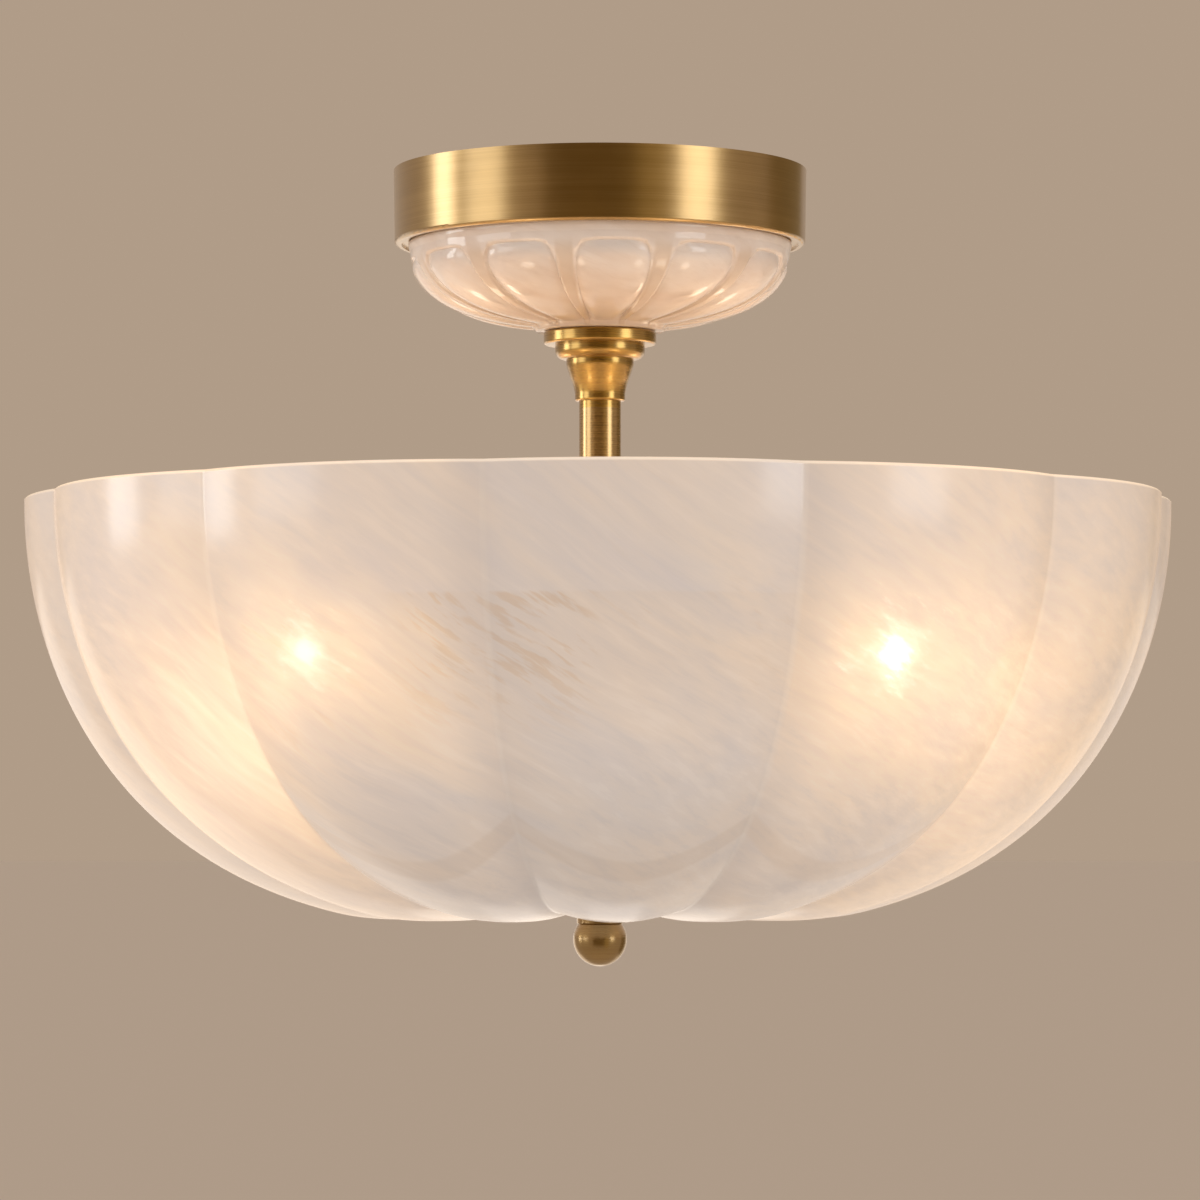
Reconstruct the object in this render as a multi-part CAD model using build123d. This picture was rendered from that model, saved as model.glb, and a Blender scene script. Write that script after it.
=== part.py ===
from build123d import *
import os
from math import acos, cos, pi, radians, sin, sqrt

# Semi-flush bowl ceiling light with a fluted stone bowl hung from a stem.
# Millimetres, +Z up. The origin is on the ceiling plane, on the stem's axis, and the front is -Y.

os.makedirs("parts", exist_ok=True)

# Driving sizes: ceiling strap and its screws
strap_length = 118.0
strap_width = 24.0
strap_thickness = 2.5
slot_spacing = 79.4
slot_length = 14.4
slot_half_width = 2.4
ground_screw_radius = 2.0
ground_screw_head_radius = 4.2
ground_screw_head_height = 2.6
ground_screw_place = 22.0
screw_slot_width = 0.9
screw_slot_depth = 0.8

# Driving sizes: lamp pipe thread, used by the nipple, the lower rod and their nuts
pipe_radius = 4.85
pipe_bore = 3.5
nut_across_flats = 14.3
nut_height = 4.5

# Driving sizes: brass canopy ring
canopy_radius = 108.5
canopy_height = 39.0
canopy_draft = 0.6
canopy_wall = 1.6
canopy_lip_width = 5.0
canopy_edge_radius = 2.0
canopy_flange_width = 15.5
canopy_underside_recess = 1.2

# Driving sizes: fluted stone trim dish under the ring
dish_radius = 100.7
dish_depth = 45.0
dish_power = 2.55
dish_wall = 6.0
dish_band_height = 7.0
dish_groove_start = 0.9
dish_groove_depth = 1.5
dish_rib_angle = 4.2
dish_rib_rise = 0.9
dish_hub_radius = 34.0
dish_hub_drop = 0.8
dish_gasket_thickness = 0.8
dish_gasket_width = 7.0

# Driving sizes: stem and the turned collar below the dish
stem_radius = 11.0
stem_wall = 1.3
stem_top_z = -11.0
coupling_length = 18.0
coupling_head_height = 2.0
collar_pad_thickness = 1.0
collar_pad_inset = 3.4
collar_disc_gap = 0.1
collar_disc_radius = 29.6
collar_disc_height = 6.9
collar_disc_rounding = 1.3
collar_bead_radius = 23.6
collar_bead_height = 7.8
collar_bead_straight = 3.1
collar_bell_radius = 17.7
collar_bell_height = 21.9
collar_bell_line = [(17.7, 1.8), (17.17, 4.6), (16.5, 6.7), (15.62, 9.4), (14.63, 12.0), (13.83, 14.7),
                    (13.35, 17.0), (13.2, 19.0)]
collar_bell_rounding = 0.9
collar_lip_radius = 13.2
collar_lip_height = 5.0
grub_screw_radius = 1.5
grub_screw_spread = 40.0
grub_screw_inset = 0.2
grub_socket_radius = 0.75
grub_socket_depth = 1.0

# Driving sizes: lamp hub, arms and sockets
hub_radius = 30.0
hub_height = 36.0
hub_wall = 3.0
hub_top_z = -241.0
hub_cover_thickness = 3.0
hub_screw_radius = 1.5
hub_screw_circle = 22.5
hub_screw_boss_radius = 3.4
hub_screw_boss_height = 9.0
hub_screw_hole_depth = 7.2
hub_screw_reach = 6.0
hub_rounding = 2.4
hub_cover_rounding = 1.8
spigot_radius = 6.5
arm_count = 4
arm_phase = 45.0
arm_radius = 5.0
arm_wall = 1.0
arm_inner_end = 23.0
socket_start = 106.0
socket_length = 46.0
socket_radius = 20.5
socket_wall = 0.9
socket_floor = 2.0
arm_reach_in_socket = 7.0
arm_nut_across_flats = 13.0
arm_nut_height = 3.0
porcelain_floor = 7.0
screw_shell_radius = 14.6
screw_shell_wall = 0.5
screw_shell_floor = 0.6
screw_shell_floor_gap = 2.0
contact_width = 6.0
contact_rise = 1.6
contact_corner = 1.0

# Driving sizes: lamp bulb with an Edison screw cap
bulb_length = 110.0
bulb_globe_radius = 30.0
bulb_neck_radius = 12.0
bulb_neck_flare = 1.0
bulb_neck_length = 6.0
bulb_shoulder_angle = 50.0
bulb_foot_depth = 4.0
bulb_glass_wall = 1.0
cap_radius = 13.0
cap_thread_depth = 1.0
cap_pitch = 25.4 / 7
cap_length = 21.0
cap_plain_end = 1.0
cap_wall = 0.5
cap_floor = 1.0
cap_insulator_length = 4.4
tip_radius = 4.6
tip_length = 1.8

# Driving sizes: fluted stone bowl
bowl_radius = 300.0
bowl_rim_z = -175.0
bowl_depth = 225.0
bowl_power = 3.0
bowl_wall = 7.0
bowl_rim_crown = 1.6
bowl_low_radius = 92.0
bowl_low_depth = 217.5
bowl_seat_depth = 210.5
bowl_seat_radius = 18.0
bowl_seat_rise = 0.4
bowl_seat_slope = 0.05
bowl_inner_radius = 12.0
bowl_hole_radius = 6.2
bowl_section_steps = 14
lobe_count = 12
lobe_phase = 4.2
lobe_crease = 8.0
lobe_crease_fade = 0.45

# Driving sizes: hanging rod, washers and ball finial
washer_radius = 15.0
rubber_thickness = 1.5
steel_washer_thickness = 2.0
rubber_inset = 1.0
cup_washer_radius = 12.1
cup_washer_height = 3.5
cup_washer_skirt = 4.1
cup_washer_rounding = 0.25
ball_radius = 14.0
ball_flat_radius = 6.4
ball_thread_depth = 15.5
rod_end_gap = 1.0

# Driving sizes: leads and the terminal block in the hub
lead_count = 3
lead_radius = 1.1
lead_circle = 1.75
lead_rise = 12.0
socket_lead_radius = 0.9
socket_lead_spacing = 2.4
lead_hole_depth = 4.0
terminal_radius = 15.0
terminal_height = 12.0
terminal_rounding = 1.0

# Named clearances, each on the radius
sliding_clearance = 0.08
thread_clearance = 0.05
hole_clearance = 0.25
seat_gap = 0.3

# How far a cut runs past the face it opens, and a thread's end past its nut
cut_margin = 1.0
thread_end_length = 1.0

# Levels and radii that follow from the driving sizes
canopy_flange_z = -canopy_height + canopy_underside_recess
canopy_opening = canopy_radius - canopy_flange_width
dish_top_z = canopy_flange_z - dish_gasket_thickness
dish_bottom_z = dish_top_z - dish_depth - dish_hub_drop
collar_top_z = dish_bottom_z - collar_disc_gap
collar_bead_z = collar_top_z - collar_disc_height
collar_neck_z = collar_bead_z - collar_bead_height
collar_bottom_z = collar_neck_z - collar_bell_height
collar_bore = stem_radius + sliding_clearance
stem_bore = stem_radius - stem_wall
pipe_hole = pipe_radius + thread_clearance
hub_bottom_z = hub_top_z - hub_height
hub_cover_z = hub_bottom_z - hub_cover_thickness
hub_axis_z = (hub_top_z + hub_bottom_z) / 2
socket_end = socket_start + socket_length
porcelain_start = socket_start + socket_floor + arm_reach_in_socket
porcelain_radius = socket_radius - socket_wall - thread_clearance
bulb_start = porcelain_start + porcelain_floor + screw_shell_floor + contact_rise
lobe_half_angle = 180.0 / lobe_count
bowl_seat_z = bowl_rim_z - bowl_seat_depth
bowl_floor_z = bowl_seat_z + bowl_wall
lower_pad_z = bowl_seat_z - rubber_thickness
ball_top_z = lower_pad_z - cup_washer_height
ball_centre_z = ball_top_z - sqrt(ball_radius ** 2 - ball_flat_radius ** 2)
rod_bottom_z = ball_top_z - ball_thread_depth + rod_end_gap
upper_pad_top_z = bowl_floor_z + rubber_thickness
steel_washer_top_z = upper_pad_top_z + steel_washer_thickness
terminal_bottom_z = hub_axis_z - terminal_height / 2
terminal_top_z = hub_axis_z + terminal_height / 2


def tube(outer, inner, bottom, top):
    """Plain round tube on the Z axis."""
    ring = Circle(outer) - Circle(inner)
    return Pos(0, 0, bottom) * extrude(ring, top - bottom)


def disc(radius, bottom, top):
    """Plain round bar on the Z axis."""
    return Pos(0, 0, bottom) * extrude(Circle(radius), top - bottom)


def hex_nut(across_flats, bore, bottom, height):
    """Hexagon nut on the Z axis."""
    section = RegularPolygon(across_flats / 2, 6, major_radius=False) - Circle(bore)
    return Pos(0, 0, bottom) * extrude(section, height)


def screw_slot(head_radius):
    """Driver slot across a screw head, centred on the head's face."""
    return Box(2 * head_radius, screw_slot_width, 2 * screw_slot_depth)


def turned(*edges):
    """Body turned round the Z axis from a closed outline in the XZ plane."""
    return revolve(make_face(Wire(edges)), Axis.Z)


def along_arm(shape, number):
    """Turns a body made on the Z axis so that it lies along one arm, outward."""
    outward = Rot(0, 0, arm_phase + number * 360 / arm_count) * Pos(0, 0, hub_axis_z) * Rot(0, 90, 0)
    return outward * shape


# Ceiling strap, nipple and nuts

def ceiling_strap():
    plate = RectangleRounded(strap_length, strap_width, strap_width / 4)
    slot = SlotOverall(slot_length, 2 * slot_half_width)
    plate -= Pos(slot_spacing / 2, 0) * slot + Pos(-slot_spacing / 2, 0) * slot
    plate -= Circle(pipe_hole)
    plate -= Pos(ground_screw_place, 0) * Circle(ground_screw_radius + thread_clearance)
    return Pos(0, 0, -strap_thickness) * extrude(plate, strap_thickness)


def ground_screw():
    head_z = -strap_thickness - ground_screw_head_height
    head = disc(ground_screw_head_radius, head_z, -strap_thickness)
    head = fillet(head.edges().group_by(Axis.Z)[0], ground_screw_head_height / 2)
    slot = Pos(0, 0, head_z) * screw_slot(ground_screw_head_radius)
    shank = disc(ground_screw_radius, -strap_thickness, strap_thickness)
    return Pos(ground_screw_place, 0) * (head - slot + shank)


def threaded_nipple():
    top = nut_height + 2 * strap_thickness
    return tube(pipe_radius, pipe_bore, stem_top_z - coupling_length, top)


def nipple_lock_nuts():
    upper = hex_nut(nut_across_flats, pipe_hole, 0, nut_height)
    lower = hex_nut(nut_across_flats, pipe_hole, -strap_thickness - nut_height, nut_height)
    return Compound(children=[upper, lower])


# Canopy: brass ring, gasket and stone dish

def canopy_ring():
    """Spun ring: wall, turned-in top lip, rounded lower edge and a flange set a little up inside."""
    low = canopy_radius - canopy_draft
    edge = canopy_edge_radius
    inner = canopy_wall
    corner = low - edge
    outline = [
        Line((canopy_radius, 0, 0), (low, 0, -canopy_height + edge)),
        ThreePointArc((low, 0, -canopy_height + edge),
                      (corner + edge * cos(pi / 4), 0, -canopy_height + edge - edge * sin(pi / 4)),
                      (corner, 0, -canopy_height)),
        Polyline((corner, 0, -canopy_height),
                 (corner - inner, 0, -canopy_height),
                 (corner - inner, 0, canopy_flange_z),
                 (canopy_opening, 0, canopy_flange_z),
                 (canopy_opening, 0, canopy_flange_z + inner),
                 (low - inner, 0, canopy_flange_z + inner),
                 (canopy_radius - inner, 0, -inner),
                 (canopy_radius - canopy_lip_width, 0, -inner),
                 (canopy_radius - canopy_lip_width, 0, 0),
                 (canopy_radius, 0, 0)),
    ]
    return turned(*[edge for part in outline for edge in part.edges()])


def dish_gasket():
    outer = canopy_opening + dish_gasket_width
    return tube(outer, canopy_opening, dish_top_z, canopy_flange_z)


def dish_drop(radius, offset=0.0):
    """Depth of the dish's round outline below its top at one radius."""
    share = min(radius / (dish_radius - offset), 1.0)
    return (dish_depth - offset) * (1 - share ** dish_power) ** (1 / dish_power)


def dish_outline_angle(radius):
    """Angle that stands for one radius on the dish's round outline, 0 at its widest."""
    return acos((radius / dish_radius) ** (dish_power / 2))


def dish_curve(edge_depth):
    """Outline of the dish from under its band to inside the plain ring round the collar."""
    points = []
    steps = 10
    first = dish_outline_angle(dish_radius - dish_groove_start)
    last = dish_outline_angle(dish_hub_radius - dish_wall)
    for step in range(steps + 1):
        angle = first + (last - first) * step / steps
        radius = dish_radius * cos(angle) ** (2 / dish_power)
        sunk = edge_depth * sin(pi * step / steps) ** 0.5
        depth = dish_drop(radius)
        direction_r = (radius / dish_radius) ** (dish_power - 1)
        direction_z = (depth / dish_depth) ** (dish_power - 1)
        size = sqrt(direction_r ** 2 + direction_z ** 2)
        point_r = radius - sunk * direction_r / size
        point_z = dish_top_z - depth + sunk * direction_z / size
        points.append((point_r, 0, point_z))
    return points


def dish_section(edge_depth):
    """Section of the dish in a vertical plane, solid inside and closed by straight edges."""
    outer = dish_curve(edge_depth)
    inner_radius = dish_hub_radius / 2
    rest = Polyline(outer[-1], (inner_radius, 0, outer[-1][2]), (inner_radius, 0, dish_top_z),
                    (outer[0][0], 0, dish_top_z), outer[0])
    return make_face(Wire([Spline(*outer)] + list(rest.edges())))


def canopy_dish():
    """Fluted dish: twelve pillow flutes with narrow ribs between, a plain band and a plain hub ring."""
    half = lobe_half_angle - dish_rib_angle / 2
    flute = []
    for share in (-1, -0.6, -0.2, 0.2, 0.6, 1):
        flute.append(Rot(0, 0, half * share) * dish_section(dish_groove_depth * share ** 2))
    pillow = loft(flute)
    rib_face = Rot(0, 0, half) * dish_section(dish_groove_depth - dish_rib_rise)
    rib = revolve(rib_face, Axis.Z, dish_rib_angle)
    sector = pillow + rib
    turns = [Rot(0, 0, lobe_phase + i * 2 * lobe_half_angle) * sector for i in range(lobe_count)]
    body = turns[0].fuse(*turns[1:])
    hub = disc(dish_hub_radius, dish_bottom_z, dish_top_z)
    band = tube(dish_radius, dish_radius - dish_wall, dish_top_z - dish_band_height, dish_top_z)
    band = fillet(band.edges().group_by(Axis.Z)[0].sort_by(SortBy.RADIUS)[-1], dish_band_height / 3)
    body = body + hub + band
    return body - dish_hollow() - disc(collar_bore + hole_clearance, dish_bottom_z - cut_margin, dish_top_z)


def dish_hollow():
    """Smooth inside of the dish."""
    points = []
    steps = 8
    for step in range(steps + 1):
        angle = pi / 2 * step / steps
        radius = (dish_radius - dish_wall) * cos(angle) ** (2 / dish_power)
        points.append((radius, 0, dish_top_z - dish_drop(radius, dish_wall)))
    curve = Spline(*points)
    roof = dish_top_z + cut_margin
    rest = Polyline(points[-1], (0, 0, roof), (points[0][0], 0, roof), points[0])
    return revolve(make_face(Wire([curve] + list(rest.edges()))), Axis.Z)


# Collar below the dish

def collar_pad():
    outer = collar_disc_radius - collar_pad_inset
    return tube(outer, collar_bore + hole_clearance, dish_bottom_z - collar_pad_thickness, dish_bottom_z)


def collar_disc():
    """Disc with a recess in its top for the pad, so that its edge closes on the dish."""
    plate = tube(collar_disc_radius, collar_bore, collar_bead_z, collar_top_z)
    edges = plate.edges().filter_by(GeomType.CIRCLE).sort_by(SortBy.RADIUS)[-2:]
    plate = fillet(edges, collar_disc_rounding)
    recess = collar_disc_radius - collar_pad_inset + hole_clearance
    return plate - disc(recess, dish_bottom_z - collar_pad_thickness, dish_bottom_z)


def collar_bead():
    """Round-bottomed ring between the disc and the bell."""
    top = collar_bead_z
    bottom = collar_neck_z
    shoulder = top - collar_bead_straight
    round_radius = shoulder - bottom
    corner = collar_bead_radius - round_radius
    middle = (corner + round_radius * cos(pi / 4), 0, shoulder - round_radius * sin(pi / 4))
    round_edge = ThreePointArc((collar_bead_radius, 0, shoulder), middle, (corner, 0, bottom))
    rest = Polyline((corner, 0, bottom), (collar_bore, 0, bottom), (collar_bore, 0, top),
                    (collar_bead_radius, 0, top), (collar_bead_radius, 0, shoulder))
    return turned(round_edge, *rest.edges())


def collar_bell():
    """Bell that clamps the collar to the stem, narrowing in one smooth S curve to its foot."""
    points = [(radius, 0, collar_neck_z - depth) for radius, depth in collar_bell_line]
    curve = Spline(*points, tangents=[(0, 0, -1), (0, 0, -1)])
    outline = [
        Line((collar_bore, 0, collar_neck_z), (collar_bell_radius, 0, collar_neck_z)),
        Line((collar_bell_radius, 0, collar_neck_z), points[0]),
        curve,
        Line(points[-1], (collar_lip_radius, 0, collar_bottom_z)),
        Line((collar_lip_radius, 0, collar_bottom_z), (collar_bore, 0, collar_bottom_z)),
        Line((collar_bore, 0, collar_bottom_z), (collar_bore, 0, collar_neck_z)),
    ]
    bell = turned(*outline)
    foot = bell.edges().filter_by(GeomType.CIRCLE).group_by(Axis.Z)[0].sort_by(SortBy.RADIUS)[-1]
    return fillet(foot, collar_bell_rounding) - grub_screw_holes()


def grub_screw_places():
    """Two set screws through the bell's lip, at the rear."""
    level = collar_bottom_z + collar_lip_height / 2
    places = []
    for side in (-1, 1):
        angle = 90 + side * grub_screw_spread / 2
        places.append(Rot(0, 0, angle) * Pos(0, 0, level) * Rot(0, 90, 0))
    return places


def grub_screw_holes():
    start = stem_radius - cut_margin
    hole = disc(grub_screw_radius + thread_clearance, start, collar_lip_radius + cut_margin)
    return Compound(children=[place * hole for place in grub_screw_places()])


def collar_grub_screws():
    outer = collar_lip_radius - grub_screw_inset
    screw = disc(grub_screw_radius, collar_bore, outer)
    socket = extrude(RegularPolygon(grub_socket_radius, 6), grub_socket_depth)
    socket = Pos(0, 0, outer - grub_socket_depth) * socket
    return Compound(children=[place * (screw - socket) for place in grub_screw_places()])


# Stem

def stem_tube():
    return tube(stem_radius, stem_bore, hub_top_z, stem_top_z)


def stem_top_coupling():
    """Threaded plug in the stem's top that hangs it on the nipple."""
    head = disc(stem_radius, stem_top_z, stem_top_z + coupling_head_height)
    plug = disc(stem_bore - thread_clearance, stem_top_z - coupling_length, stem_top_z)
    bore = disc(pipe_hole, stem_top_z - coupling_length, stem_top_z + coupling_head_height)
    return head + plug - bore


def stem_bottom_coupling():
    """Plug in the stem's foot with a hollow spigot that goes through the hub's roof."""
    plug = disc(stem_bore - thread_clearance, hub_top_z, hub_top_z + coupling_length)
    spigot_end = hub_top_z - hub_wall - nut_height - thread_end_length
    spigot = disc(spigot_radius, spigot_end, hub_top_z)
    bore = disc(pipe_bore, spigot_end, hub_top_z + coupling_length)
    return plug + spigot - bore


def stem_lock_nut():
    across = nut_across_flats + 2 * (spigot_radius - pipe_radius)
    bore = spigot_radius + thread_clearance
    return hex_nut(across, bore, hub_top_z - hub_wall - nut_height, nut_height)


# Lamp hub

def hub_screw_places():
    """Places of the cover's screws, between the arms."""
    places = []
    for number in range(arm_count):
        angle = arm_phase + (number + 0.5) * 360 / arm_count
        places.append(Rot(0, 0, angle) * Pos(hub_screw_circle, 0, 0))
    return places


def lamp_hub():
    """Cup-shaped hub, closed above, with a port for each arm and bosses for the cover screws."""
    body = disc(hub_radius, hub_bottom_z, hub_top_z)
    body = fillet(body.edges().group_by(Axis.Z)[-1], hub_rounding)
    body -= disc(hub_radius - hub_wall, hub_bottom_z, hub_top_z - hub_wall)
    boss = disc(hub_screw_boss_radius, hub_bottom_z, hub_bottom_z + hub_screw_boss_height)
    lug = Pos(hub_screw_boss_radius, 0, 0) * boss
    hole = disc(hub_screw_radius + thread_clearance, hub_bottom_z, hub_bottom_z + hub_screw_hole_depth)
    for place in hub_screw_places():
        body += place * (boss + lug)
    body = body & disc(hub_radius, hub_bottom_z, hub_top_z)
    for place in hub_screw_places():
        body -= place * hole
    body -= disc(spigot_radius + thread_clearance, hub_top_z - hub_wall, hub_top_z)
    port = disc(arm_radius + thread_clearance, hub_radius - 2 * hub_wall, hub_radius + cut_margin)
    for number in range(arm_count):
        body -= along_arm(port, number)
    return body


def hub_cover():
    plate = disc(hub_radius, hub_cover_z, hub_bottom_z)
    plate = fillet(plate.edges().group_by(Axis.Z)[0], hub_cover_rounding)
    plate -= disc(pipe_hole, hub_cover_z, hub_bottom_z)
    for place in hub_screw_places():
        plate -= place * disc(hub_screw_radius + thread_clearance, hub_cover_z, hub_bottom_z)
    return plate


def hub_screws():
    head = disc(2 * hub_screw_radius, hub_cover_z - hub_screw_radius, hub_cover_z)
    shank = disc(hub_screw_radius, hub_cover_z, hub_bottom_z + hub_screw_reach)
    slot = Pos(0, 0, hub_cover_z - hub_screw_radius) * screw_slot(2 * hub_screw_radius)
    screw = head - slot + shank
    return Compound(children=[place * screw for place in hub_screw_places()])


# Arms and sockets, each made on the Z axis and laid along its arm

def arm_tube():
    end = socket_start + socket_floor + arm_reach_in_socket
    return tube(arm_radius, arm_radius - arm_wall, arm_inner_end, end)


def arm_lock_nuts():
    """One nut inside the hub and one inside the socket cup for each arm."""
    bore = arm_radius + thread_clearance
    hub_nut_start = hub_radius - hub_wall - thread_end_length - arm_nut_height
    nuts = []
    for number in range(arm_count):
        nuts.append(along_arm(hex_nut(arm_nut_across_flats, bore, hub_nut_start, arm_nut_height), number))
        cup_nut = hex_nut(arm_nut_across_flats, bore, socket_start + socket_floor, arm_nut_height)
        nuts.append(along_arm(cup_nut, number))
    return Compound(children=nuts)


def socket_cup():
    cup = disc(socket_radius, socket_start, socket_end)
    cup = fillet(cup.edges().group_by(Axis.Z)[0], socket_floor)
    cup -= disc(socket_radius - socket_wall, socket_start + socket_floor, socket_end)
    return cup - disc(arm_radius + thread_clearance, socket_start, socket_end)


def socket_porcelain():
    """Insulating body with the pocket for the screw shell and two holes for the leads."""
    body = disc(porcelain_radius, porcelain_start, socket_end)
    pocket = disc(screw_shell_radius + thread_clearance, porcelain_start + porcelain_floor, socket_end)
    lead = disc(socket_lead_radius + thread_clearance, porcelain_start, porcelain_start + lead_hole_depth)
    leads = [Pos(0, side * socket_lead_spacing / 2) * lead for side in (-1, 1)]
    return body - pocket - leads[0] - leads[1]


def screw_shell():
    start = porcelain_start + porcelain_floor
    shell = tube(screw_shell_radius, screw_shell_radius - screw_shell_wall, start, socket_end - seat_gap)
    hole = tip_radius + screw_shell_floor_gap
    floor = tube(screw_shell_radius, hole, start, start + screw_shell_floor)
    return shell + floor


def socket_contact():
    """Centre contact that the bulb's tip presses on."""
    start = porcelain_start + porcelain_floor
    plate = RectangleRounded(contact_width, contact_width, contact_corner)
    return Pos(0, 0, start) * extrude(plate, bulb_start - start)


# Bulb

def cap_ridges():
    """Rounded ridges of the screw cap, as radius and distance along the bulb."""
    start = bulb_start + tip_length + cap_insulator_length
    ridges = int((cap_length - 2 * cap_plain_end) / cap_pitch)
    points = [(cap_radius - cap_thread_depth, 0, start)]
    for ridge in range(ridges):
        low = start + cap_plain_end + ridge * cap_pitch
        points.append((cap_radius - cap_thread_depth, 0, low))
        points.append((cap_radius, 0, low + cap_pitch / 2))
    points.append((cap_radius - cap_thread_depth, 0, start + cap_plain_end + ridges * cap_pitch))
    points.append((cap_radius - cap_thread_depth, 0, start + cap_length))
    return points


def bulb_cap():
    """Screw cap with its insulator, hollow behind the tip."""
    points = cap_ridges()
    start = bulb_start + tip_length
    inner = cap_radius - cap_thread_depth - cap_wall
    floor = points[0][2] + cap_floor
    outline = [(0, 0, start), (tip_radius, 0, start)] + points
    outline += [(inner, 0, points[-1][2]), (inner, 0, floor), (0, 0, floor)]
    return revolve(make_face(Polyline(*outline, close=True)), Axis.Z)


def bulb_tip():
    """Contact tip, flat where it meets the socket's contact."""
    tip = disc(tip_radius, bulb_start, bulb_start + tip_length)
    return fillet(tip.edges().group_by(Axis.Z)[0], tip_length / 2)


def bulb_outline(shrink):
    """Glass outline: neck, shoulder curve and round globe."""
    neck_start = bulb_start + tip_length + cap_insulator_length + cap_length
    centre = bulb_start + bulb_length - bulb_globe_radius
    radius = bulb_globe_radius - shrink
    join = radians(bulb_shoulder_angle)
    neck = bulb_neck_radius - shrink
    shoulder = (radius * cos(join), 0, centre - radius * sin(join))
    flare = (neck + bulb_neck_flare, 0, neck_start + bulb_neck_length)
    upper = (radius * cos(pi / 4), 0, centre + radius * sin(pi / 4))
    beside_top = (radius * sin(pi / 8), 0, centre + radius * cos(pi / 8))
    curve = Spline((neck, 0, neck_start), flare, shoulder,
                   tangents=[(0, 0, 1), (sin(join), 0, cos(join))])
    globe = ThreePointArc(shoulder, (radius, 0, centre), upper)
    crown = ThreePointArc(upper, beside_top, (0, 0, centre + radius))
    return [curve, globe, crown], neck_start, centre + radius


def bulb_body(shrink):
    edges, start, end = bulb_outline(shrink)
    neck = bulb_neck_radius - shrink
    edges += [Line((0, 0, end), (0, 0, start)), Line((0, 0, start), (neck, 0, start))]
    return revolve(make_face(Wire(edges)), Axis.Z)


def bulb_glass():
    """Frosted glass envelope, sealed at its neck where it stands in the cap."""
    start = bulb_start + tip_length + cap_insulator_length + cap_length
    foot_radius = cap_radius - cap_thread_depth - cap_wall - thread_clearance
    foot = disc(foot_radius, start - bulb_foot_depth, start)
    return bulb_body(0) - Pos(0, 0, bulb_glass_wall) * bulb_body(bulb_glass_wall) + foot


# Leads

def lead_places():
    """Places of the supply leads round the axis, the first at the rear."""
    return [Rot(0, 0, 90 + i * 360 / lead_count) * Pos(lead_circle, 0, 0) for i in range(lead_count)]


def supply_leads():
    """Live, neutral and ground leads from the terminal block up through the stem."""
    lead = disc(lead_radius, terminal_top_z - lead_hole_depth, lead_rise)
    return Compound(children=[place * lead for place in lead_places()])


def socket_leads():
    """Two leads to each socket, through its arm."""
    lead = disc(socket_lead_radius, terminal_radius - lead_hole_depth, porcelain_start + lead_hole_depth)
    leads = []
    for number in range(arm_count):
        for side in (-1, 1):
            leads.append(along_arm(Pos(0, side * socket_lead_spacing / 2) * lead, number))
    return Compound(children=leads)


def terminal_block():
    """Round terminal block that sits on the rod's top end."""
    body = disc(terminal_radius, terminal_bottom_z, terminal_top_z)
    body = fillet(body.edges().group_by(Axis.Z)[-1], terminal_rounding)
    entry = disc(lead_radius + thread_clearance, terminal_top_z - lead_hole_depth, terminal_top_z)
    for place in lead_places():
        body -= place * entry
    side_entry = disc(socket_lead_radius + thread_clearance,
                      terminal_radius - lead_hole_depth, terminal_radius + cut_margin)
    for number in range(arm_count):
        for side in (-1, 1):
            body -= along_arm(Pos(0, side * socket_lead_spacing / 2) * side_entry, number)
    return body


# Bowl

def bowl_drop(radius):
    """Depth below the rim of the lobes' ridge line at one radius, outside the turned-up middle."""
    return bowl_depth * sqrt(1 - (radius / bowl_radius) ** bowl_power)


def bowl_ridge():
    """Ridge line of a lobe from the rim down, in under the bowl and up to the seat."""
    points = []
    for angle in (0, 13, 26, 38, 50, 62, 72):
        radius = bowl_radius * cos(radians(angle)) ** (2 / bowl_power)
        points.append((radius, 0, bowl_rim_z - bowl_drop(radius)))
    points.append((bowl_low_radius, 0, bowl_rim_z - bowl_low_depth))
    points.append((bowl_inner_radius, 0, bowl_seat_z + bowl_seat_rise))
    return Spline(*points, tangents=[(0, 0, -1), (-1, 0, bowl_seat_slope)])


def bowl_section(ridge, share):
    """Wall section in a vertical plane; share runs from 0 on a lobe's ridge to 1 at its crease."""
    outer = []
    inner = []
    for step in range(bowl_section_steps + 1):
        place = ridge @ (step / bowl_section_steps)
        along = ridge % (step / bowl_section_steps)
        outward = Vector(-along.Z, 0, along.X)
        reach = max(place.X - bowl_inner_radius, 0) / (bowl_radius - bowl_inner_radius)
        sunk = lobe_crease * reach ** lobe_crease_fade * share ** 2
        outer.append(place - outward * sunk)
        inner.append(place - outward * (sunk + bowl_wall))
    crown = Vector((outer[0].X + inner[0].X) / 2, 0, bowl_rim_z + bowl_rim_crown)
    inner[-1] = Vector(outer[-1].X, 0, inner[-1].Z)
    rim = ThreePointArc(inner[0], crown, outer[0])
    down = Spline(*outer)
    hole = Line(outer[-1], inner[-1])
    up = Spline(*reversed(inner))
    return make_face(Wire([rim, down, hole, up]))


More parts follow.
